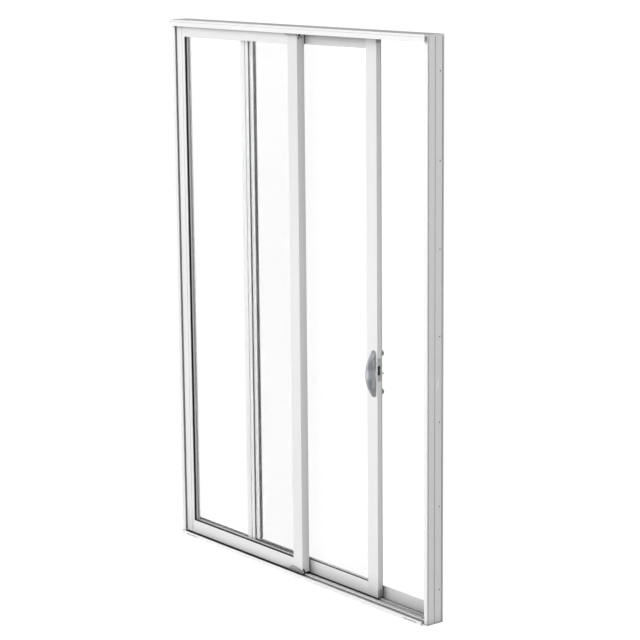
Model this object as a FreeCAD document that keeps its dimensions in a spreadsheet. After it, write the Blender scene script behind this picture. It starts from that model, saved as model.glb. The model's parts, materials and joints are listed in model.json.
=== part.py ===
# Glass sliding patio door: a fixed and a sliding glazed panel in a four-sided aluminium frame.
# Millimetres, +Z up, -Y outside, +X to the right seen from outside.
# The origin is the middle of the sill's underside.
import FreeCAD, Part
import os
import re

import Sketcher
from FreeCAD import Placement, Rotation, Vector

# Driving sizes. Every name is a cell of the sheet Sizes.
SIZES = {
    # frame
    "frame_width": 1760,
    "frame_height": 2438,
    "frame_depth": 88,
    "nose_reach": 18,
    "joint_gap": 0.3,
    # jambs
    "jamb_wall": 3,
    "jamb_lip": 18.5,
    "lip_wall": 2.5,
    "back_wall": 3,
    "fin_wall": 2.5,
    "fin_place": -3,
    "groove_width": 2.2,
    "groove_depth": 1.5,
    "front_groove": -37.7,
    "middle_groove": -2.7,
    "back_groove": 35.3,
    # screw holes through the jambs
    "hole_radius": 3.25,
    "front_hole": -31,
    "back_hole": 23.8,
    "first_hole": 145,
    "hole_rows": 7,
    # head
    "head_web": 8,
    "head_drop": 29,
    "drip_wall": 2.5,
    "face_groove": 9,
    "fine_groove": 1.2,
    # sill
    "sill_base": 3,
    "sill_floor": 5,
    "nose_wall": 3.5,
    "nose_height": 18,
    "rail_wall": 3,
    "rail_top": 12,
    "riser_height": 62,
    "weep_height": 5,
    "weep_length": 84,
    "right_weep_inset": 68.2,
    "left_weep_inset": 75.2,
    # panels
    "track_spacing": 44,
    "front_track": -22.75,
    "panel_depth": 26.5,
    "panel_wall": 2.5,
    "rail_height": 59,
    "roller_channel": 30,
    "guide_channel": 14,
    "glass_channel": 16,
    "fixed_foot": 16,
    "sliding_foot": 14,
    "panel_top_gap": 9,
    # fixed panel
    "fixed_inset": 26.4,
    "fixed_width": 888.6,
    "fixed_stile": 57.2,
    "bead_width": 19.5,
    "tongue_wall": 14,
    "meeting_stile": 64,
    "meeting_reach": 12.5,
    "meeting_hook": 23,
    "meeting_wall": 2.5,
    "leg_stop": 5,
    "leg_clear": 1,
    # sliding panel
    "sliding_edge": 505.2,
    "sliding_width": 933.2,
    "lock_stile": 66.4,
    "hook_stile": 53,
    "track_clear": 7,
    "cap_height": 35,
    "cap_plug": 12,
    "cut_over": 1,
    "fit_gap": 0.25,
    # glazing
    "glass_unit": 12,
    "glass_setback": 2.75,
    "pane": 3,
    "glass_edge": 12,
    "gasket_sight": 4,
    "gasket_cover": 0.6,
    "spacer_sight": 2.5,
    "spacer_edge": 1,
    # blocks on the fixed panel
    "block_thick": 8,
    "block_length": 102,
    "block_base": 14,
    "block_height": 23.6,
    "block_low_end": 16,
    "block_overhang": 3,
    "block_taper": 26,
    "block_crest": 16,
    "top_block_length": 78,
    "top_block_height": 18,
    "top_block_thick": 5,
    "setting_block": 80,
    "setting_inset": 140,
    "setting_skirt": 4,
    # rollers
    "wheel_radius": 12.5,
    "wheel_flange": 15,
    "wheel_width": 10,
    "wheel_groove": 5,
    "axle_radius": 3,
    "bore_gap": 0.05,
    "housing_length": 90,
    "housing_wall": 3,
    "housing_foot": 17,
    "roller_inset": 90,
    # handle
    "handle_width": 24,
    "handle_line": 484,
    "handle_centre": 1000,
    "handle_half": 100,
    "handle_base": 5,
    "base_rail": 4,
    "grip_back": 17.5,
    "finger_start": 17,
    "finger_slope": 24,
    "finger_end": 80,
    "post_radius": 11.5,
    "post_reach": 18,
    "post_spacing": 166,
    # lock
    "lock_line": 17.5,
    "pivot_rise": 29,
    "pivot_inset": 9.2,
    "pivot_radius": 3,
    "hub_radius": 6,
    "hook_radius": 34,
    "hook_inner": 28,
    "hook_thick": 5,
    "hook_arm": 8,
    "hook_sweep": 25,
    "hook_rest": 107,
    "plate_length": 100,
    "plate_drop": 11.5,
    "plate_width": 24,
    "plate_thick": 2.5,
    "lobe_radius": 6,
    "slot_width": 8,
    "slot_above": 5,
    "slot_below": 33.5,
    "case_depth": 36,
    "case_width": 13,
    "case_wall": 2.5,
    "case_below": 64,
    "case_above": 26,
    "cavity_below": 37,
    "cavity_above": 12,
    # keeper in the right jamb
    "keeper_thick": 3,
    "keeper_length": 100,
    "keeper_width": 20,
    "keeper_below": 30.5,
    "web_slot_below": 25.5,
    "keeper_above": 4.5,
    # thumb turn on the back
    "turn_drop": 3,
    "spindle_radius": 4,
    "turn_radius": 6.5,
    "turn_collar": 6,
    "turn_reach": 18,
    "wing_length": 11,
    "wing_thick": 5,
}

# Places worked out from the sizes. Every name is a cell of the sheet Places.
PLACES = {
    "half_width": "frame_width / 2",
    "half_depth": "frame_depth / 2",
    "opening_half": "half_width - jamb_lip",
    "filling_half": "opening_half - joint_gap",
    "web_half": "half_width - jamb_wall",
    "hole_pitch": "(frame_height - first_hole * 2) / (hole_rows - 1)",
    "right_weep": "filling_half - right_weep_inset",
    "left_weep": "left_weep_inset - filling_half",
    "nose_face": "half_depth + nose_reach",
    "head_under": "frame_height - head_web",
    "head_lip": "frame_height - head_drop",
    "back_track": "front_track + track_spacing",
    "panel_half": "panel_depth / 2",
    "panel_top": "head_under - panel_top_gap",
    "fixed_left": "fixed_inset - half_width",
    "fixed_right": "fixed_left + fixed_width",
    "fixed_glass_left": "fixed_left + fixed_stile",
    "fixed_glass_right": "fixed_right - meeting_stile",
    "sliding_left": "sliding_edge - sliding_width",
    "sliding_glass_left": "sliding_left + hook_stile",
    "sliding_glass_right": "sliding_edge - lock_stile",
    "glass_half": "glass_unit / 2",
    "fixed_face": "front_track - panel_half",
    "sliding_face": "back_track - panel_half",
    "sliding_back": "back_track + panel_half",
    "meeting_back": "front_track + panel_half + meeting_reach",
    "wheel_centre": "rail_top + wheel_radius + joint_gap",
    "channel_half": "panel_half - panel_wall",
    "pivot_place": "sliding_edge - pivot_inset",
    "pivot_height": "handle_centre + pivot_rise",
    "turn_height": "handle_centre - turn_drop",
    "cheek_place": "sliding_edge - plate_thick",
    "plate_middle": "pivot_height - plate_drop",
}

document = FreeCAD.newDocument("PatioDoor")
pieces = []


def word_cell(match):
    name = match.group(0)
    if name in SIZES:
        return "Sizes." + name
    if name in PLACES:
        return "Places." + name
    return name


def formula(text):
    # A formula in plain names, with each name pointed at the sheet that holds it.
    return re.sub(r"[a-z][a-z_]*", word_cell, str(text))


def fill_sheet(title, rows):
    sheet = document.addObject("Spreadsheet::Sheet", title)
    for row, (name, value) in enumerate(rows.items(), start=1):
        sheet.set(f"A{row}", name)
        sheet.set(f"B{row}", str(value))
        sheet.setAlias(f"B{row}", name)
    return sheet


sizes = fill_sheet("Sizes", SIZES)
places = fill_sheet("Places", {})
for row, (name, text) in enumerate(PLACES.items(), start=1):
    places.set(f"A{row}", name)
    places.setAlias(f"B{row}", name)
for row, text in enumerate(PLACES.values(), start=1):
    places.set(f"B{row}", "=" + formula(text).replace("Places.", ""))
document.recompute()


def value(text):
    return float(sizes.evalExpression(formula(text)))


# Stations of the pull handle from its foot to its top: height from the middle, then the reach from the
# panel's face and half the width of the front face, and the same two for the shoulder beside it.
GRIP = [
    (-100, 8, 3, 5, 7),
    (-92, 13, 4.5, 7, 10.5),
    (-76, 22, 5, 11, 11.6),
    (-48, 36, 5.5, 18, 11.8),
    (-26, 40, 8, 26, 11.8),
    (0, 40.5, 11, 37, 11.8),
    (26, 40, 8, 26, 11.8),
    (48, 36.5, 5.5, 18, 11.8),
    (76, 22, 5, 11, 11.6),
    (92, 13, 4.5, 7, 10.5),
    (100, 8, 3, 5, 7),
]


# Drawing helpers
def origin_part(body, role):
    return [part for part in body.Origin.OriginFeatures if part.Role == role][0]


def pin_point(sketch, edge, point, u, v):
    # Ties one point of the sketch to its two formulas, measured from the sketch's origin.
    for kind, text in (("DistanceX", u), ("DistanceY", v)):
        index = sketch.addConstraint(Sketcher.Constraint(kind, -1, 1, edge, point, value(text)))
        sketch.setExpression(f"Constraints[{index}]", formula(text))


def draw_outline(sketch, points):
    first = sketch.GeometryCount
    corners = [Vector(value(u), value(v), 0) for u, v in points]
    count = len(points)
    for i in range(count):
        sketch.addGeometry(Part.LineSegment(corners[i], corners[(i + 1) % count]), False)
    for i in range(count):
        sketch.addConstraint(Sketcher.Constraint("Coincident", first + i, 2, first + (i + 1) % count, 1))
    for i, (u, v) in enumerate(points):
        pin_point(sketch, first + i, 1, u, v)


def draw_circle(sketch, u, v, radius):
    edge = sketch.GeometryCount
    sketch.addGeometry(Part.Circle(Vector(value(u), value(v), 0), Vector(0, 0, 1), value(radius)), False)
    pin_point(sketch, edge, 3, u, v)
    index = sketch.addConstraint(Sketcher.Constraint("Radius", edge, value(radius)))
    sketch.setExpression(f"Constraints[{index}]", formula(radius))


def draw(body, plane, loops, offset="0"):
    # A sketch on one of the body's own planes. The offset runs along that plane's normal.
    sketch = body.newObject("Sketcher::SketchObject", body.Name + "_sketch")
    sketch.AttachmentSupport = [(origin_part(body, plane), "")]
    sketch.MapMode = "FlatFace"
    sketch.setExpression("AttachmentOffset.Base.z", formula(offset))
    for loop in loops:
        if loop[0] == "circle":
            draw_circle(sketch, *loop[1:])
        else:
            draw_outline(sketch, loop)
    return sketch


def new_body(label):
    body = document.addObject("PartDesign::Body", label)
    body.Label = label
    pieces.append(body)
    return body


def pad(body, plane, loops, middle, length):
    # Pads an outline evenly both ways from the plane at middle.
    sign = "-" if plane == "XZ_Plane" else ""
    sketch = draw(body, plane, loops, f"{sign}({middle})")
    feature = body.newObject("PartDesign::Pad", body.Name + "_pad")
    feature.Profile = sketch
    feature.SideType = "Symmetric"
    feature.setExpression("Length", formula(length))
    document.recompute()
    return feature


def cut(body, plane, loops, middle, length):
    # Cuts an outline evenly both ways from the plane at middle, and makes sure that it took metal away.
    sign = "-" if plane == "XZ_Plane" else ""
    before = body.Shape.Volume
    sketch = draw(body, plane, loops, f"{sign}({middle})")
    feature = body.newObject("PartDesign::Pocket", body.Name + "_cut")
    feature.Profile = sketch
    feature.SideType = "Symmetric"
    feature.setExpression("Length", formula(length))
    document.recompute()
    if body.Shape.Volume >= before:
        raise RuntimeError(f"{body.Label}: a cut took nothing away")
    return feature


def between(low, high):
    return f"({low} + {high}) / 2", f"{high} - ({low})"


def prism(label, plane, loops, low, high):
    body = new_body(label)
    middle, length = between(low, high)
    pad(body, plane, loops, middle, length)
    return body


def turned(label, points, x_place, z_place):
    # A piece turned about an axis along Y. The outline holds radius and Y.
    body = new_body(label)
    sketch = draw(body, "XY_Plane", [points])
    feature = body.newObject("PartDesign::Revolution", body.Name + "_turn")
    feature.Profile = sketch
    feature.ReferenceAxis = (sketch, ["V_Axis"])
    feature.Angle = 360
    body.setExpression("Placement.Base.x", formula(x_place))
    body.setExpression("Placement.Base.z", formula(z_place))
    document.recompute()
    return body


def lofted(label, sections):
    # A smooth body through outlines that lie level at the given heights.
    body = new_body(label)
    sketches = [draw(body, "XY_Plane", [outline], height) for height, outline in sections]
    document.recompute()
    feature = body.newObject("PartDesign::AdditiveLoft", body.Name + "_loft")
    feature.Profile = sketches[0]
    feature.Sections = sketches[1:]
    document.recompute()
    return body


def rectangle(u_low, u_high, v_low, v_high):
    return [(u_low, v_low), (u_high, v_low), (u_high, v_high), (u_low, v_high)]


# Frame
def make_sill():
    body = new_body("sill")
    base = rectangle("-half_depth", "half_depth", "0", "sill_base")
    pad(body, "YZ_Plane", [base], "0", "frame_width")
    outline = [("-nose_face", "0"), ("half_depth", "0"), ("half_depth", "riser_height")]
    outline += [("half_depth - back_wall", "riser_height"), ("half_depth - back_wall", "sill_floor")]
    for track in ("back_track", "front_track"):
        outline += [(f"{track} + rail_wall / 2", "sill_floor"), (f"{track} + rail_wall / 2", "rail_top")]
        outline += [(f"{track} - rail_wall / 2", "rail_top"), (f"{track} - rail_wall / 2", "sill_floor")]
    outline += [("nose_wall - nose_face", "sill_floor"), ("nose_wall - nose_face", "nose_height")]
    outline += [("-nose_face", "nose_height")]
    pad(body, "YZ_Plane", [outline], "0", "filling_half * 2")
    for weep in ("right_weep", "left_weep"):
        slot = rectangle(
            f"{weep} - weep_length / 2", f"{weep} + weep_length / 2",
            "sill_floor", "sill_floor + weep_height",
        )
        cut(body, "XZ_Plane", [slot], "nose_wall / 2 - nose_face", "nose_wall * 2")
    return body


def make_head():
    body = new_body("head")
    line = "frame_height - face_groove"
    cover = [("-nose_face", "head_lip"), ("drip_wall - nose_face", "head_lip")]
    cover += [("drip_wall - nose_face", "head_under"), ("half_depth", "head_under")]
    cover += [("half_depth", "frame_height"), ("-nose_face", "frame_height"), ("-nose_face", line)]
    cover += [("fine_groove - nose_face", line), ("fine_groove - nose_face", f"{line} - fine_groove")]
    cover += [("-nose_face", f"{line} - fine_groove")]
    pad(body, "YZ_Plane", [cover], "0", "frame_width")
    comb = [("-half_depth", "frame_height"), ("half_depth", "frame_height"), ("half_depth", "head_lip")]
    comb += [("half_depth - back_wall", "head_lip"), ("half_depth - back_wall", "head_under")]
    comb += [("fin_place + fin_wall / 2", "head_under"), ("fin_place + fin_wall / 2", "head_lip")]
    comb += [("fin_place - fin_wall / 2", "head_lip"), ("fin_place - fin_wall / 2", "head_under")]
    comb += [("lip_wall - half_depth", "head_under"), ("lip_wall - half_depth", "head_lip")]
    comb += [("-half_depth", "head_lip")]
    pad(body, "YZ_Plane", [comb], "0", "filling_half * 2")
    return body


def make_jamb(label, side):
    # side is + on the right and - on the left. Grooves run down the outer face.
    def across(distance):
        return f"{side}({distance})"

    outline = [(across("half_width"), "-half_depth"), (across("opening_half"), "-half_depth")]
    outline += [(across("opening_half"), "lip_wall - half_depth"), (across("web_half"), "lip_wall - half_depth")]
    outline += [(across("web_half"), "fin_place - fin_wall / 2")]
    outline += [(across("opening_half"), "fin_place - fin_wall / 2")]
    outline += [(across("opening_half"), "fin_place + fin_wall / 2")]
    outline += [(across("web_half"), "fin_place + fin_wall / 2")]
    outline += [(across("web_half"), "half_depth - back_wall"), (across("opening_half"), "half_depth - back_wall")]
    outline += [(across("opening_half"), "half_depth"), (across("half_width"), "half_depth")]
    for groove in ("back_groove", "middle_groove", "front_groove"):
        outline += [(across("half_width"), f"{groove} + groove_width / 2")]
        outline += [(across("half_width - groove_depth"), f"{groove} + groove_width / 2")]
        outline += [(across("half_width - groove_depth"), f"{groove} - groove_width / 2")]
        outline += [(across("half_width"), f"{groove} - groove_width / 2")]
    jamb = prism(label, "XY_Plane", [outline], "sill_base", "head_under")
    holes = [("circle", "front_hole", "first_hole", "hole_radius")]
    holes += [("circle", "back_hole", "first_hole", "hole_radius")]
    drilled = cut(jamb, "YZ_Plane", holes, across("half_width - jamb_wall / 2"), "jamb_wall * 2")
    rows = jamb.newObject("PartDesign::LinearPattern", jamb.Name + "_rows")
    rows.Originals = [drilled]
    rows.Direction = (origin_part(jamb, "Z_Axis"), [""])
    rows.setExpression("Length", formula("hole_pitch * (hole_rows - 1)"))
    rows.setExpression("Occurrences", formula("hole_rows"))
    jamb.Tip = rows
    document.recompute()
    return jamb


def lock_slot(below):
    return rectangle(
        "lock_line - slot_width / 2", "lock_line + slot_width / 2",
        f"pivot_height - {below}", "pivot_height + keeper_above",
    )


def make_keeper(jamb):
    cut(jamb, "YZ_Plane", [lock_slot("web_slot_below")], "half_width - jamb_wall / 2", "jamb_wall * 2")
    plate = rectangle(
        "lock_line - keeper_width / 2", "lock_line + keeper_width / 2",
        "plate_middle - keeper_length / 2", "plate_middle + keeper_length / 2",
    )
    prism("keeper_plate", "YZ_Plane", [plate, lock_slot("keeper_below")], "web_half - keeper_thick", "web_half")


# Panel members
def stile_outline(outer, inner, track, toward, bead=()):
    # A hollow stile with a glass channel on its inner side. toward is + where the glass lies to the right.
    back = f"{inner} - {toward}glass_channel"
    front_face = f"{track} - panel_half"
    back_face = f"{track} + panel_half"
    outline = [(outer, front_face), *bead, (inner, front_face), (inner, f"{front_face} + panel_wall")]
    outline += [(back, f"{front_face} + panel_wall"), (back, f"{back_face} - panel_wall")]
    outline += [(inner, f"{back_face} - panel_wall"), (inner, back_face), (outer, back_face)]
    return outline


def stile_chamber(outer, inner, track, toward):
    return rectangle(
        f"{outer} + {toward}panel_wall", f"{inner} - {toward}(glass_channel + panel_wall)",
        f"{track} - channel_half", f"{track} + channel_half",
    )


def rail_loops(track, outer, inner, toward, channel):
    # A hollow rail with a glass channel on its inner edge and an open channel on its outer edge.
    front = f"{track} - panel_half"
    back = f"{track} + panel_half"
    front_in = f"{track} - channel_half"
    back_in = f"{track} + channel_half"
    glass_floor = f"{inner} - {toward}glass_channel"
    roof = f"{outer} + {toward}{channel}"
    outline = [(front, outer), (front, inner), (front_in, inner), (front_in, glass_floor)]
    outline += [(back_in, glass_floor), (back_in, inner), (back, inner), (back, outer)]
    outline += [(back_in, outer), (back_in, roof), (front_in, roof), (front_in, outer)]
    chamber = rectangle(front_in, back_in, f"{roof} + {toward}panel_wall", f"{glass_floor} - {toward}panel_wall")
    return [outline, chamber]


def make_rails(name, track, foot, left, right):
    bottom = rail_loops(track, foot, f"{foot} + rail_height", "1 * ", "roller_channel")
    prism(f"{name}_bottom_rail", "YZ_Plane", bottom, left, right)
    top = rail_loops(track, "panel_top", "panel_top - rail_height", "-1 * ", "guide_channel")
    prism(f"{name}_top_rail", "YZ_Plane", top, left, right)


def ring(label, left, right, low, high, grow_out, grow_in, y_low, y_high):
    # A ring about the sight opening, from grow_out beyond its edge to grow_in inside it at the left and foot.
    outer = rectangle(
        f"{left} - {grow_out}", f"{right} + {grow_out}", f"{low} - {grow_out}", f"{high} + {grow_out}",
    )
    inner = rectangle(
        f"{left} + {grow_in}", f"{right} - gasket_cover", f"{low} + {grow_in}", f"{high} - gasket_cover",
    )
    return prism(label, "XZ_Plane", [outer, inner], y_low, y_high)


def make_glazing(name, track, foot, left, right, sight):
    middle = f"{track} + glass_setback"
    low = f"{foot} + rail_height"
    high = "panel_top - rail_height"
    glass = rectangle(f"{left} - glass_edge", f"{right} + glass_edge", f"{low} - glass_edge", f"{high} + glass_edge")
    panes = new_body(f"{name}_glass")
    panes.AllowCompound = True
    pad(panes, "XZ_Plane", [glass], f"{middle} - glass_half + pane / 2", "pane")
    pad(panes, "XZ_Plane", [glass], f"{middle} + glass_half - pane / 2", "pane")
    ring(f"{name}_spacer", left, right, low, high, "(glass_edge - spacer_edge)", "spacer_sight",
         f"{middle} - glass_half + pane", f"{middle} + glass_half - pane")
    ring(f"{name}_front_gasket", left, right, low, high, "glass_edge", sight,
         f"{track} - channel_half", f"{middle} - glass_half")
    ring(f"{name}_back_gasket", left, right, low, high, "glass_edge", sight,
         f"{middle} + glass_half", f"{track} + channel_half")


# Fixed panel
def make_fixed_panel():
    # A fine groove marks the bead beside the glass.
    line = "fixed_glass_left - bead_width"
    bead = [(line, "fixed_face"), (line, "fixed_face + fine_groove")]
    bead += [(f"{line} + fine_groove", "fixed_face + fine_groove"), (f"{line} + fine_groove", "fixed_face")]
    outline = stile_outline("fixed_left", "fixed_glass_left", "front_track", "1 * ", bead)
    outline += [("fixed_left", "front_track + tongue_wall / 2"), ("-web_half", "front_track + tongue_wall / 2")]
    outline += [("-web_half", "front_track - tongue_wall / 2"), ("fixed_left", "front_track - tongue_wall / 2")]
    chamber = stile_chamber("fixed_left", "fixed_glass_left", "front_track", "1 * ")
    prism("fixed_left_stile", "XY_Plane", [outline, chamber], "fixed_foot", "panel_top")

    outline = stile_outline("fixed_right", "fixed_glass_right", "front_track", "-1 * ")[:-1]
    outline += [("fixed_right - meeting_wall", "front_track + panel_half")]
    outline += [("fixed_right - meeting_wall", "meeting_back - meeting_wall")]
    outline += [("fixed_right - meeting_hook", "meeting_back - meeting_wall")]
    outline += [("fixed_right - meeting_hook", "meeting_back"), ("fixed_right", "meeting_back")]
    chamber = stile_chamber("fixed_right", "fixed_glass_right", "front_track", "-1 * ")
    stile = prism("fixed_meeting_stile", "XY_Plane", [outline, chamber], "fixed_foot", "panel_top")
    # The leg at the back stops short of the fin of the head.
    stop = rectangle(
        "front_track + panel_half", "meeting_back + leg_clear", "head_lip - leg_stop", "panel_top + leg_clear",
    )
    middle, length = between("fixed_right - meeting_hook - leg_clear", "fixed_right + leg_clear")
    cut(stile, "YZ_Plane", [stop], middle, length)

    make_rails("fixed", "front_track", "fixed_foot", "fixed_glass_left", "fixed_glass_right")
    make_glazing("fixed", "front_track", "fixed_foot", "fixed_glass_left", "fixed_glass_right", "gasket_sight")


def make_blocks():
    right = "fixed_right + block_overhang"
    top = "block_base + block_height"
    outline = [(f"{right} - block_length", "block_base"), (right, "block_base")]
    outline += [(right, "block_base + block_low_end"), (f"{right} - block_length + block_taper + block_crest", top)]
    outline += [(f"{right} - block_length + block_taper", top)]
    prism("fixed_corner_block", "XZ_Plane", [outline], "fixed_face - block_thick", "fixed_face")
    strip = rectangle("fixed_right - top_block_length", "fixed_right", "panel_top - top_block_height", "panel_top")
    prism("fixed_top_block", "XZ_Plane", [strip], "fixed_face - top_block_thick", "fixed_face")

    # Two packers stand astride the front rail and carry the fixed panel.
    roof = "fixed_foot + roller_channel"
    skirt = "rail_top - setting_skirt"
    gap = "(rail_wall / 2 + fit_gap)"
    packer = [("front_track - channel_half + fit_gap", skirt), (f"front_track - {gap}", skirt)]
    packer += [(f"front_track - {gap}", "rail_top"), (f"front_track + {gap}", "rail_top")]
    packer += [(f"front_track + {gap}", skirt), ("front_track + channel_half - fit_gap", skirt)]
    packer += [("front_track + channel_half - fit_gap", roof), ("front_track - channel_half + fit_gap", roof)]
    blocks = new_body("fixed_setting_blocks")
    blocks.AllowCompound = True
    pad(blocks, "YZ_Plane", [packer], "fixed_glass_left + setting_inset", "setting_block")
    pad(blocks, "YZ_Plane", [packer], "fixed_glass_right - setting_inset", "setting_block")


# Sliding panel
def track_notch(body, low, high):
    # The foot of a stile is open over the rail.
    notch = rectangle(
        "back_track - rail_wall / 2 - track_clear", "back_track + rail_wall / 2 + track_clear",
        "sliding_foot - cut_over", "sliding_foot + setting_skirt",
    )
    middle, length = between(low, high)
    cut(body, "YZ_Plane", [notch], middle, f"{length} + cut_over * 2")


def make_sliding_panel():
    outline = stile_outline("sliding_edge", "sliding_glass_right", "back_track", "-1 * ")
    chamber = stile_chamber("sliding_edge", "sliding_glass_right", "back_track", "-1 * ")
    stile = prism("sliding_lock_stile", "XY_Plane", [outline, chamber], "sliding_foot", "panel_top")
    track_notch(stile, "sliding_glass_right", "sliding_edge")
    face = "sliding_face - cut_over"
    back = "sliding_back + cut_over"
    cap_low = rectangle(face, back, "sliding_foot - cut_over", "sliding_foot + cap_height")
    cap_high = rectangle(face, back, "panel_top - cap_height", "panel_top + cut_over")
    mortise = rectangle(
        "back_track - plate_width / 2 - fit_gap", "back_track + plate_width / 2 + fit_gap",
        "plate_middle - plate_length / 2 - fit_gap", "plate_middle + plate_length / 2 + fit_gap",
    )
    cut(stile, "YZ_Plane", [cap_low, cap_high, mortise], "sliding_edge", "panel_wall * 2")
    turn_hole = [("circle", "handle_line", "turn_height", "spindle_radius + bore_gap")]
    cut(stile, "XZ_Plane", turn_hole, "sliding_back", "panel_wall * 3")

    outline = stile_outline("sliding_left", "sliding_glass_left", "back_track", "1 * ")
    chamber = stile_chamber("sliding_left", "sliding_glass_left", "back_track", "1 * ")
    stile = prism("sliding_meeting_stile", "XY_Plane", [outline, chamber], "sliding_foot", "panel_top")
    track_notch(stile, "sliding_left", "sliding_glass_left")

    make_rails("sliding", "back_track", "sliding_foot", "sliding_glass_left", "sliding_glass_right")
    make_glazing(
        "sliding", "back_track", "sliding_foot", "sliding_glass_left", "sliding_glass_right", "gasket_cover",
    )


def make_cap(label, low, high):
    # An end cap: a cheek flush with the stile's edge and a plug in its chamber.
    cap = new_body(label)
    cheek = rectangle("sliding_face", "sliding_back", low, high)
    middle, length = between("sliding_edge - panel_wall", "sliding_edge")
    pad(cap, "YZ_Plane", [cheek], middle, length)
    plug = rectangle(
        "back_track - channel_half + fit_gap", "back_track + channel_half - fit_gap",
        f"{low} + fit_gap", f"{high} - fit_gap",
    )
    middle, length = between("sliding_edge - panel_wall - cap_plug", "sliding_edge - panel_wall")
    pad(cap, "YZ_Plane", [plug], middle, length)
    return cap


def make_caps():
    make_cap("stile_top_cap", "panel_top - cap_height", "panel_top")
    bottom = make_cap("stile_bottom_cap", "sliding_foot", "sliding_foot + cap_height")
    track_notch(bottom, "sliding_edge - panel_wall - cap_plug", "sliding_edge")


def make_roller(side, place):
    roof = "sliding_foot + roller_channel"
    half = "channel_half"
    inner = "(channel_half - housing_wall)"
    bracket = [(f"back_track - {half}", "housing_foot"), (f"back_track - {half}", roof)]
    bracket += [(f"back_track + {half}", roof), (f"back_track + {half}", "housing_foot")]
    bracket += [(f"back_track + {inner}", "housing_foot"), (f"back_track + {inner}", f"{roof} - housing_wall")]
    bracket += [(f"back_track - {inner}", f"{roof} - housing_wall"), (f"back_track - {inner}", "housing_foot")]
    housing = new_body(f"{side}_roller_housing")
    pad(housing, "YZ_Plane", [bracket], place, "housing_length")
    bore = [("circle", place, "wheel_centre", "axle_radius + bore_gap")]
    cut(housing, "XZ_Plane", bore, "back_track", "panel_depth")
    axle_half = "(channel_half - fit_gap)"
    rim = [("0", f"back_track - {axle_half}"), ("axle_radius", f"back_track - {axle_half}")]
    rim += [("axle_radius", "back_track - wheel_width / 2"), ("wheel_flange", "back_track - wheel_width / 2")]
    rim += [("wheel_radius", "back_track - wheel_groove / 2"), ("wheel_radius", "back_track + wheel_groove / 2")]
    rim += [("wheel_flange", "back_track + wheel_width / 2"), ("axle_radius", "back_track + wheel_width / 2")]
    rim += [("axle_radius", f"back_track + {axle_half}"), ("0", f"back_track + {axle_half}")]
    turned(f"{side}_roller_wheel", rim, place, "wheel_centre")


# Handle and lock
def make_handle():
    # A grip with a waist in the middle and a scooped lobe above and below it.
    sections = []
    for height, reach, half, shoulder_reach, shoulder_half in GRIP:
        near = f"sliding_face - {reach}"
        shoulder = f"sliding_face - {shoulder_reach}"
        outline = [(f"handle_line - {shoulder_half}", "sliding_face"), (f"handle_line - {shoulder_half}", shoulder)]
        outline += [(f"handle_line - {half}", near), (f"handle_line + {half}", near)]
        outline += [(f"handle_line + {shoulder_half}", shoulder), (f"handle_line + {shoulder_half}", "sliding_face")]
        sections.append((f"handle_centre + ({height})", outline))
    handle = lofted("pull_handle", sections)
    base = "sliding_face - handle_base"
    inner = "sliding_face - grip_back"
    edge = "(handle_width / 2 - base_rail)"
    for sign in ("+", "-"):
        finger = [(base, f"handle_centre {sign} finger_start"), (inner, f"handle_centre {sign} finger_slope")]
        finger += [(inner, f"handle_centre {sign} (finger_end - finger_slope)")]
        finger += [(base, f"handle_centre {sign} finger_end")]
        cut(handle, "YZ_Plane", [finger], "handle_line", "handle_width * 2")
        # The base is a rim, open in the middle behind each finger gap.
        window = rectangle(
            f"handle_line - {edge}", f"handle_line + {edge}",
            f"handle_centre {sign} finger_start", f"handle_centre {sign} finger_end",
        )
        cut(handle, "XZ_Plane", [window], "sliding_face", "handle_base * 2")


def make_posts():
    posts = new_body("back_posts")
    posts.AllowCompound = True
    for sign in ("+", "-"):
        disc = [("circle", "handle_line", f"handle_centre {sign} post_spacing / 2", "post_radius")]
        middle, length = between("sliding_back", "sliding_back + post_reach")
        pad(posts, "XZ_Plane", disc, middle, length)


def make_lock():
    # The latch leaves by a slot with a round lobe at each end.
    waist = [("lock_line - slot_width / 2", f"pivot_height - {part}") for part in ("slot_below", "(-slot_above)")]
    waist += [("lock_line + slot_width / 2", f"pivot_height - {part}") for part in ("(-slot_above)", "slot_below")]
    plate = rectangle(
        "back_track - plate_width / 2", "back_track + plate_width / 2",
        "plate_middle - plate_length / 2", "plate_middle + plate_length / 2",
    )
    face = prism("lock_faceplate", "YZ_Plane", [plate, waist], "cheek_place", "sliding_edge")
    middle, length = between("cheek_place", "sliding_edge")
    for centre in ("pivot_height + slot_above - lobe_radius", "pivot_height - slot_below + lobe_radius"):
        lobe = [("circle", "lock_line", centre, "lobe_radius")]
        cut(face, "YZ_Plane", lobe, middle, f"{length} * 2")

    case = rectangle(
        "cheek_place - case_depth", "cheek_place", "pivot_height - case_below", "pivot_height + case_above",
    )
    box = prism("lock_case", "XZ_Plane", [case], "lock_line - case_width / 2", "lock_line + case_width / 2")
    cavity = rectangle(
        "cheek_place - case_depth + case_wall", "cheek_place + cut_over",
        "pivot_height - cavity_below", "pivot_height + cavity_above",
    )
    cut(box, "XZ_Plane", [cavity], "lock_line", "case_width - case_wall * 2")
    pin = [("circle", "pivot_place", "pivot_height", "pivot_radius")]
    pad(box, "XZ_Plane", pin, "lock_line", "case_width")


def bind(item, **formulas):
    for name, text in formulas.items():
        item.setExpression(name, formula(text))
    return item


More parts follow.
